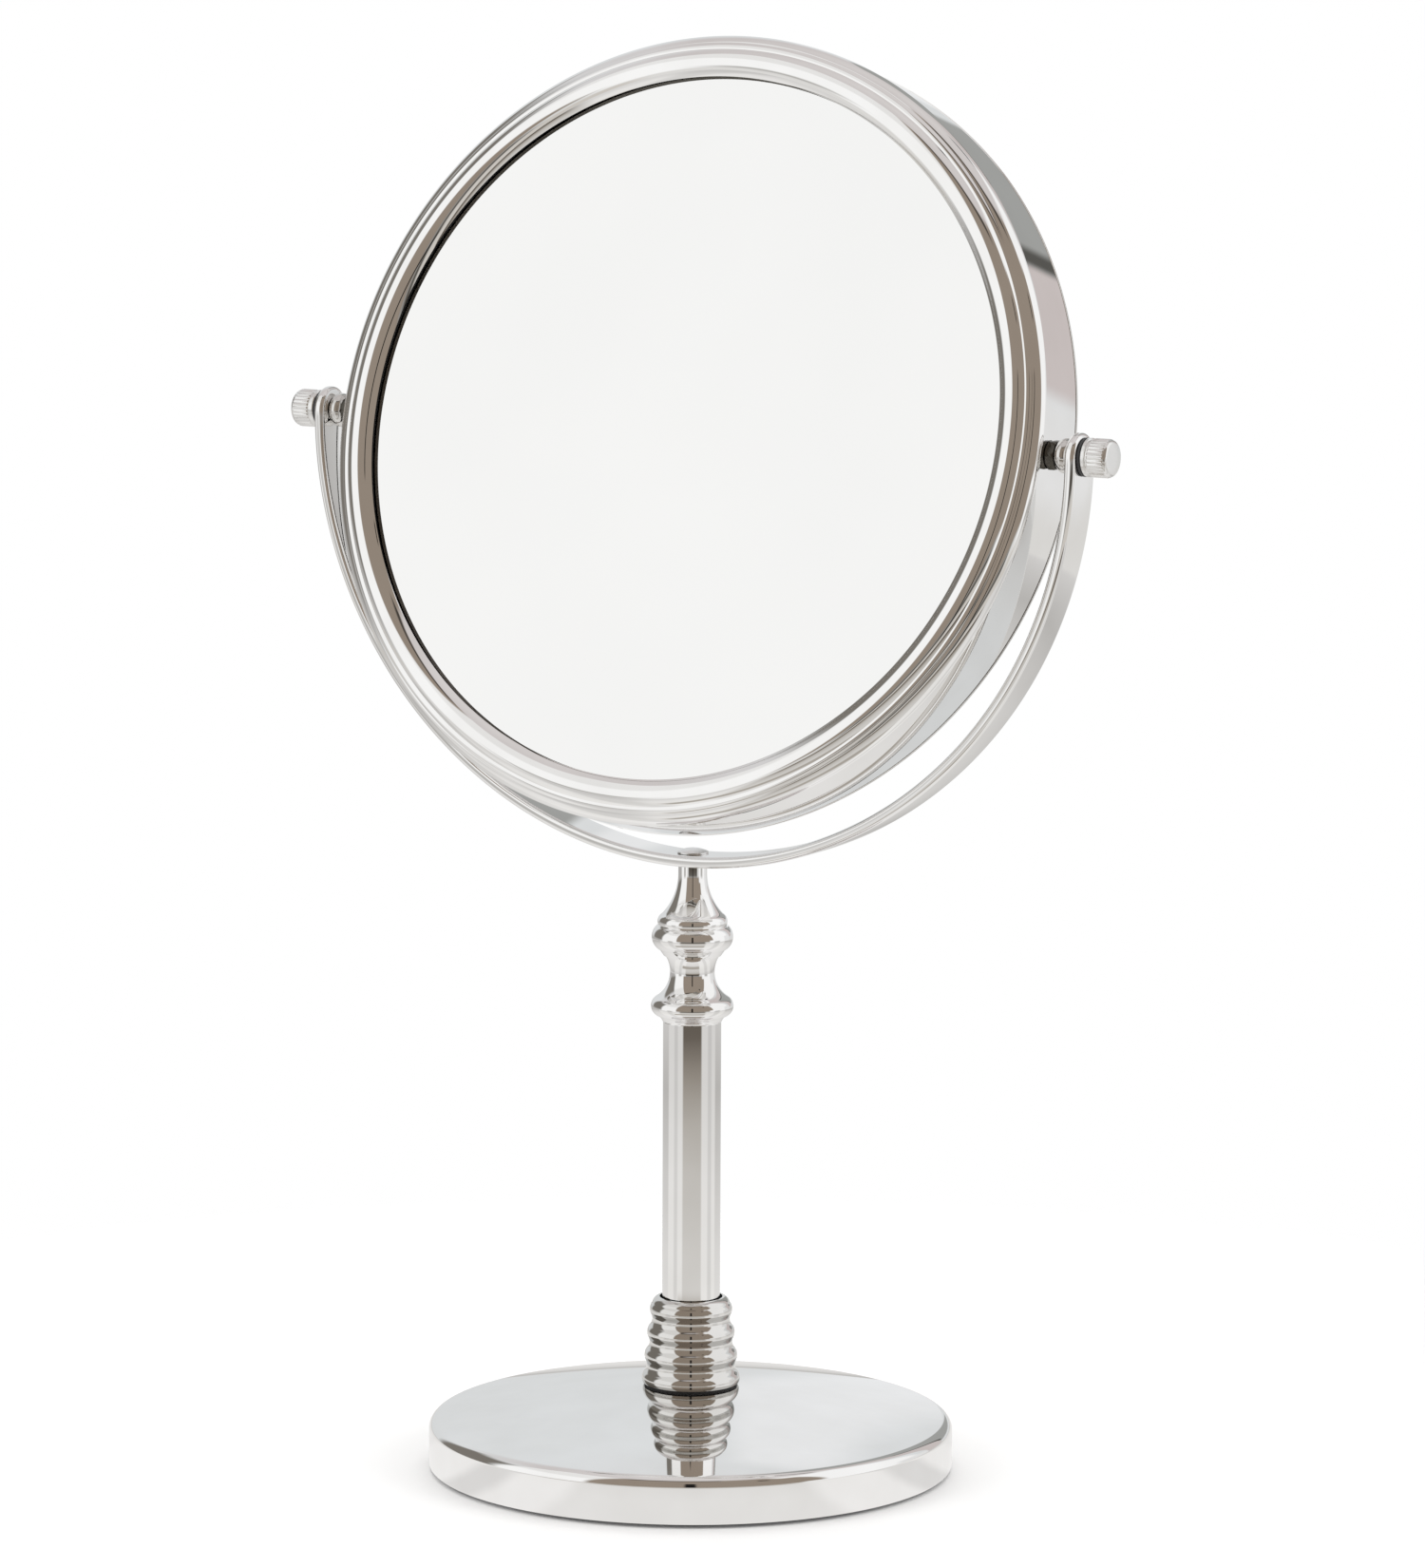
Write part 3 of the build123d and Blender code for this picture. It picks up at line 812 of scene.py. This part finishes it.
def hex_nut(side):
    """Hexagon nut with its corners turned off at both ends."""
    corner_r = NUT_AF / sqrt(3)
    bore_r = STUD_R + FIT
    count = 6 * NUT_STEPS

    def flat_r(angle):
        return NUT_AF / 2 / cos((angle + pi / 6) % (pi / 3) - pi / 6)

    levels = [
        (0.0, NUT_END_SHARE),
        (NUT_CHAMFER, 1.0),
        (NUT_T - NUT_CHAMFER, 1.0),
        (NUT_T, NUT_END_SHARE),
    ]
    verts, faces = [], []
    for height, share in levels:
        for i in range(count):
            angle = 2 * pi * i / count
            reach = min(flat_r(angle), corner_r * share)
            verts.append((reach * cos(angle), reach * sin(angle), NUT_LOW + height))
    for height in (NUT_T, 0.0):
        for i in range(count):
            angle = 2 * pi * i / count
            verts.append((bore_r * cos(angle), bore_r * sin(angle), NUT_LOW + height))
    rows = len(levels) + 2
    for row in range(rows):
        here, above = row * count, (row + 1) % rows * count
        for i in range(count):
            j = (i + 1) % count
            faces.append((here + i, here + j, above + j, above + i))
    return finished(f"{side}_hex_nut", verts, faces, SIDES[side])


def ball(side):
    bore_r = STUD_R + FIT
    middle = (BALL_R, (BALL_LOW + BALL_HIGH) / 2)
    outline = trace(
        (bore_r, BALL_LOW),
        (BALL_END_R, BALL_LOW),
        (middle, (BALL_END_R, BALL_HIGH)),
        (bore_r, BALL_HIGH),
    )
    return lathe(f"{side}_ball", outline, SIDES[side])


def washer(side):
    inner = STUD_R + HOLE_CLEAR
    low = YOKE_R + GAP
    high = low + WASHER_T
    points = [(inner, low), (WASHER_R, low), (WASHER_R, high), (inner, high)]
    return lathe(f"{side}_friction_washer", rounded(points, WASHER_ROUND, 1, 2), SIDES[side])


def thumb_nut(side):
    """Smooth flange, straight knurl and a domed end, with a blind thread."""
    neck = KNOB_LOW + KNOB_FLANGE_T
    grip = neck + KNOB_NECK_T
    grip_end = KNOB_END - KNOB_DOME_T
    root_r = KNOB_R - KNURL_DEPTH
    knurl_low = grip + 2 * KNOB_CHAMFER
    knurl_high = grip_end - KNOB_CHAMFER
    shoulder = (root_r, grip_end)
    crown = (KNOB_DOME_R, KNOB_END - KNOB_CROWN)
    bore_r = STUD_R + FIT
    bore_end = extent("right_pivot_stud")[1].x + BLIND_CLEAR

    def ripple(point, angle):
        """Triangular teeth over the grip."""
        if point[0] != root_r or not knurl_low <= point[1] <= knurl_high:
            return 0
        phase = angle * KNURL_COUNT / (2 * pi) % 1
        return KNURL_DEPTH * (1 - abs(2 * phase - 1))

    return lathe(
        f"{side}_thumb_nut_metal",
        trace(
            (bore_r, KNOB_LOW),
            (KNOB_R - KNOB_CHAMFER, KNOB_LOW),
            (KNOB_R, KNOB_LOW + KNOB_CHAMFER),
            (KNOB_R, neck - KNOB_CHAMFER),
            (KNOB_NECK_R, neck),
            (KNOB_NECK_R, grip),
            (root_r, grip + KNOB_CHAMFER),
            (root_r, knurl_low),
            (root_r, knurl_high),
            shoulder,
            bulged(shoulder, crown, -KNOB_SHOULDER_R),
            bulged(crown, (0, KNOB_END), -tangent_radius(KNOB_DOME_R, KNOB_CROWN)),
            (0, bore_end),
            (bore_r, bore_end),
        ),
        SIDES[side],
        KNURL_COUNT * KNURL_STEPS,
        ripple,
    )


# Pieces on their bodies

fit(base_dome(), "base", "chrome", "base_shell", CHROME)
fit(foot_disc(), "base", "black_rubber", "foot_pad", RUBBER)
fit(ribbed_collar(), "base", "chrome", "stem_collar", SOFT_CHROME_PAINTED_SHADE, RECESS_PAINTED_SHADE, UNDERSIDE_PAINTED_SHADE)
fit(tube(), "base", "chrome", "stem_tube", CHROME)
fit(tube_finial(), "base", "chrome", "lower_finial", CHROME)
fit(neck_finial(), "yoke_arm", "chrome", "upper_finial", CHROME)
fit(sliding_rod(), "yoke_arm", "chrome", "inner_rod", CHROME)
fit(yoke_bar(), "yoke_arm", "chrome", "yoke", CHROME)
fit(yoke_screw_head(), "yoke_arm", "chrome", "yoke_screw", SATIN_CHROME)
fit(drum(), "mirror_head", "chrome", "frame_band", CHROME)
fit(flat_glass(), "mirror_head", "mirror_glass", "front_glass", MIRROR)
fit(bowl_glass(), "mirror_head", "mirror_glass", "rear_glass", MIRROR)
for face, place in {"front": HEAD, "rear": REAR}.items():
    bezel = bezel_ring(f"{face}_bezel_ring", place)
    fit(bezel, "mirror_head", "chrome", f"{face}_bezel", CHROME, DULL_CHROME_PAINTED_SHADE)
    seal = gasket_ring(f"{face}_seal", place)
    fit(seal, "mirror_head", "black_rubber", f"{face}_gasket", RUBBER)
for side in SIDES:
    fit(hex_nut(side), "mirror_head", "steel", f"{side}_stud_nut", DARK_STEEL)
    # The balls take the darker chrome, whose darker colour is painted shade.
    fit(ball(side), "mirror_head", "chrome", f"{side}_ball_spacer", SOFT_CHROME_PAINTED_SHADE)
    fit(washer(side), "yoke_arm", "black_nylon", f"{side}_knob_washer", BLACK_NYLON)
    fit(thumb_nut(side), f"{side}_thumb_nut", "chrome", f"{side}_knob", KNURL_CHROME)


# Studio: angles are degrees round from the camera's side of the object, positive to the right,
# and degrees above the horizon

AMBIENT = 0.62
STUDIO_CARDS = {
    # name: (left, right, low, high, width of its soft edge, colour)
    "left softbox": (-95, -45, -13, 60, 8, (0.97, 0.97, 0.965)),
    "softbox top": (-95, -45, 34, 60, 8, (0.83, 0.825, 0.815)),
    "right softbox": (52, 118, -13, 60, 8, (0.97, 0.97, 0.97)),
    "warm wall": (-46, 50, -5, 62, 5, (0.30, 0.25, 0.205)),
    "wall right": (45, 61, 4, 50, 5, (0.30, 0.25, 0.205)),
    "wall top": (-41, 20, 57, 62, 4, (0.06, 0.052, 0.045)),
    "wall foot": (-34, 36, -13, -5, 8, (0.085, 0.075, 0.062)),
    "left gap": (-74, -58, -13, -5, 8, (0.45, 0.44, 0.42)),
    "right gap": (66, 84, -13, -5, 8, (0.45, 0.44, 0.42)),
    "left side": (-180, -103, -13, -5, 10, (0.43, 0.42, 0.41)),
    "left flat": (-140, -96, -5, 38, 10, (0.2, 0.185, 0.165)),
    "right wing": (103, 127, -13, 12, 8, (0.8, 0.8, 0.8)),
    "wing middle": (127, 143, 0, 60, 2, (0.6, 0.545, 0.535)),
    "grey flat": (143, 170, 5, 60, 2, (0.36, 0.365, 0.355)),
    "back glow": (173.5, 178, -5, 32, 2, (0.83, 0.84, 0.85)),
    "flat edge": (142.5, 145.5, 8, 40, 2, (0.1, 0.098, 0.09)),
    "camera stand": (-2.5, 2.5, -14, 33, 2, (0.015, 0.014, 0.013)),
    "dark lamp": (35, 41, 41, 46, 2, (0.02, 0.018, 0.017)),
    "small lamp": (104, 112, 62, 72, 3, (0.05, 0.05, 0.05)),
    "table beige": (-47, 65, -60, -13, 6, (0.62, 0.59, 0.55)),
    "table left": (-180, -105, -60, -13, 8, (0.6, 0.58, 0.55)),
}
ROOM_TONES = (
    # height above the horizon, colour
    (-90, (0.9, 0.89, 0.88)),
    (-12, (0.72, 0.71, 0.69)),
    (0, (0.7, 0.715, 0.72)),
    (30, (0.74, 0.76, 0.77)),
    (55, (0.62, 0.585, 0.58)),
    (90, (0.7, 0.67, 0.66)),
)


def studio_world():
    """White to the camera, an even light to matt surfaces, and a simple room for reflections."""
    world = bpy.data.worlds.new("studio")
    world.use_nodes = True
    bpy.context.scene.world = world
    nodes = Nodes(world.node_tree)
    ray = nodes.add("ShaderNodeTexCoord").outputs["Generated"]
    bearing = nodes.bearing(ray)
    height = nodes.math("DEGREES", nodes.math("ARCSINE", nodes.along(ray, (0, 0, 1))))
    tones = [((angle + 90) / 180, colour) for angle, colour in ROOM_TONES]
    room = nodes.ramp(nodes.spread(height, -90.0, 90.0, 0.0, 1.0), tones)
    for left, right, low, high, soft, colour in STUDIO_CARDS.values():
        across = nodes.between(bearing, left, right, soft)
        card = nodes.math("MULTIPLY", across, nodes.between(height, low, high, soft))
        room = nodes.mix(card, room, rgb(*colour))

    path = nodes.add("ShaderNodeLightPath").outputs
    matt = nodes.mix(path["Is Glossy Ray"], rgb(AMBIENT, AMBIENT, AMBIENT), room)
    shown = nodes.math("MAXIMUM", path["Is Camera Ray"], path["Is Transmission Ray"])
    colour = nodes.mix(shown, matt, rgb(1, 1, 1))
    background = nodes.add("ShaderNodeBackground", {"Color": colour})
    nodes.add("ShaderNodeOutputWorld", {"Surface": background.outputs[0]})


FLOOR_R = 1200.0
FLOOR_T = 1.0
FLOOR_DROP = 0.2
FLOOR_COLOUR = (0.96, 0.955, 0.95)
FLOOR_ROUGHNESS = 0.6
FLOOR_GLOW = 0.05
# Distances from the stem between which the floor fades out, to the camera and in reflections
FLOOR_SHOWN = (200.0, 360.0)
FLOOR_REFLECTED = (700.0, 745.0)
# Sectors of the floor in reflections, by angle round
FLOOR_SOFT_EDGE = 8.0
FRONT_SECTOR = (-36, 38)
SIDE_SECTOR = (-105, 105)
FLOOR_GAPS = ((-74, -58), (66, 84))
GAP_TONE = 0.84
# Darker patch before the base that the collar shows: sector; from, to and width of its soft edge
NEAR_SECTOR = (-55, 38)
NEAR_FLOOR = (150.0, 215.0, 30.0)
NEAR_TONE = (0.42, 0.39, 0.35)
# Tones of the floor in reflections: distance from the stem, colour
FRONT_TONES = (
    (0, (0.82, 0.81, 0.8)),
    (95, (0.8, 0.79, 0.775)),
    (170, (0.69, 0.675, 0.655)),
    (230, (0.66, 0.645, 0.62)),
    (395, (0.56, 0.54, 0.51)),
    (480, (0.46, 0.435, 0.4)),
    (560, (0.3, 0.27, 0.235)),
    (630, (0.14, 0.12, 0.1)),
    (745, (0.085, 0.075, 0.062)),
)
SIDE_TONES = (
    (0, (0.9, 0.89, 0.88)),
    (95, (0.89, 0.88, 0.87)),
    (150, (0.88, 0.87, 0.85)),
    (240, (0.82, 0.81, 0.79)),
    (350, (0.82, 0.81, 0.795)),
    (530, (0.72, 0.71, 0.695)),
    (745, (0.7, 0.69, 0.68)),
)
FAR_TONES = (
    (0, (0.85, 0.84, 0.83)),
    (95, (0.84, 0.83, 0.82)),
    (150, (0.8, 0.79, 0.775)),
    (240, (0.74, 0.73, 0.715)),
    (350, (0.66, 0.65, 0.635)),
    (530, (0.5, 0.49, 0.475)),
    (745, (0.68, 0.67, 0.66)),
)


def floor():
    """Pale table top that keeps the shadow and fades into the white surround without an edge."""
    top, under = -FLOOR_DROP, -FLOOR_DROP - FLOOR_T
    table = lathe("floor", [(0, top), (FLOOR_R, top), (FLOOR_R, under), (0, under)])
    material = bpy.data.materials.new("pale_table")
    material.use_nodes = True
    nodes = Nodes(material.node_tree)
    place = nodes.add("ShaderNodeTexCoord").outputs["Object"]
    length = nodes.add("ShaderNodeVectorMath", {0: place}, operation="LENGTH")
    distance = length.outputs["Value"]
    bearing = nodes.bearing(place)

    def toned(steps):
        stops = [(reach / FLOOR_R, colour) for reach, colour in steps]
        return nodes.ramp(nodes.spread(distance, 0.0, FLOOR_R * MM, 0.0, 1.0), stops)

    def sector(left, right):
        return nodes.between(bearing, left, right, FLOOR_SOFT_EDGE)

    def fade(span):
        near, far = span
        return nodes.spread(distance, near * MM, far * MM, 1.0, 0.0, smooth=True)

    tone = nodes.mix(sector(*SIDE_SECTOR), toned(FAR_TONES), toned(SIDE_TONES))
    for left, right in FLOOR_GAPS:
        darker = nodes.spread(sector(left, right), 0.0, 1.0, 1.0, GAP_TONE)
        scaled = {0: tone, "Scale": darker}
        tone = nodes.add("ShaderNodeVectorMath", scaled, operation="SCALE").outputs["Vector"]
    tone = nodes.mix(sector(*FRONT_SECTOR), tone, toned(FRONT_TONES))
    near = nodes.between(distance, *(edge * MM for edge in NEAR_FLOOR))
    tone = nodes.mix(nodes.math("MULTIPLY", sector(*NEAR_SECTOR), near), tone, rgb(*NEAR_TONE))
    path = nodes.add("ShaderNodeLightPath").outputs
    shown, reflected = path["Is Camera Ray"], path["Is Glossy Ray"]
    glow = nodes.mix(shown, rgb(0, 0, 0), rgb(FLOOR_GLOW, FLOOR_GLOW, FLOOR_GLOW))
    inputs = {
        "Base Color": nodes.mix(reflected, rgb(*FLOOR_COLOUR), rgb(0, 0, 0)),
        "Roughness": FLOOR_ROUGHNESS,
        "Specular IOR Level": 0.0,
        "Emission Color": nodes.mix(reflected, glow, tone),
        "Emission Strength": 1.0,
        "Alpha": nodes.mix(reflected, fade(FLOOR_SHOWN), fade(FLOOR_REFLECTED)),
    }
    shader = nodes.add("ShaderNodeBsdfPrincipled", inputs)
    nodes.add("ShaderNodeOutputMaterial", {"Surface": shader.outputs[0]})
    material.cycles.emission_sampling = "NONE"
    table.data.materials.append(material)


SOFTBOXES = {
    # name: (angle round, angle up, distance, size, watts)
    "left_softbox": (-62, 28, 1500, 900, 5.0),
    "right_softbox": (72, 30, 1500, 900, 5.0),
    "top_softbox": (180, 75, 1400, 1200, 9.0),
}


def softboxes():
    aim = Vector((0, 0, PIVOT_Z * MM / 2))
    for name, (round_angle, up, distance, size, watts) in SOFTBOXES.items():
        lamp = bpy.data.lights.new(name, "AREA")
        lamp.size = size * MM
        lamp.energy = watts
        obj = bpy.data.objects.new(name, lamp)
        bpy.context.scene.collection.objects.link(obj)
        azimuth = radians(CAMERA_AZIMUTH + round_angle)
        rise = radians(up)
        away = Vector((sin(azimuth) * cos(rise), -cos(azimuth) * cos(rise), sin(rise)))
        obj.location = aim + away * distance * MM
        obj.rotation_euler = away.to_track_quat("Z", "Y").to_euler()
        obj.visible_camera = False
        obj.visible_glossy = False


def camera():
    data = bpy.data.cameras.new("camera")
    data.sensor_width = SENSOR_WIDTH
    data.lens = FOCAL_PIXELS / FRAME_LONG_SIDE * SENSOR_WIDTH
    obj = bpy.data.objects.new("camera", data)
    bpy.context.scene.collection.objects.link(obj)
    azimuth = radians(CAMERA_AZIMUTH)
    yaw = azimuth + radians(CAMERA_PAN)
    pitch = radians(CAMERA_PITCH)
    right, back = sin(azimuth) * CAMERA_DISTANCE, -cos(azimuth) * CAMERA_DISTANCE
    obj.location = Vector((right, back, CAMERA_HEIGHT)) * MM
    ahead = Vector((-sin(yaw) * cos(pitch), cos(yaw) * cos(pitch), -sin(pitch)))
    level = ahead.to_track_quat("-Z", "Y").to_matrix()
    obj.rotation_euler = (level @ Matrix.Rotation(radians(CAMERA_ROLL), 3, "Z")).to_euler()
    bpy.context.scene.camera = obj


studio_world()
floor()
softboxes()
camera()
bpy.context.scene.view_settings.view_transform = "Standard"
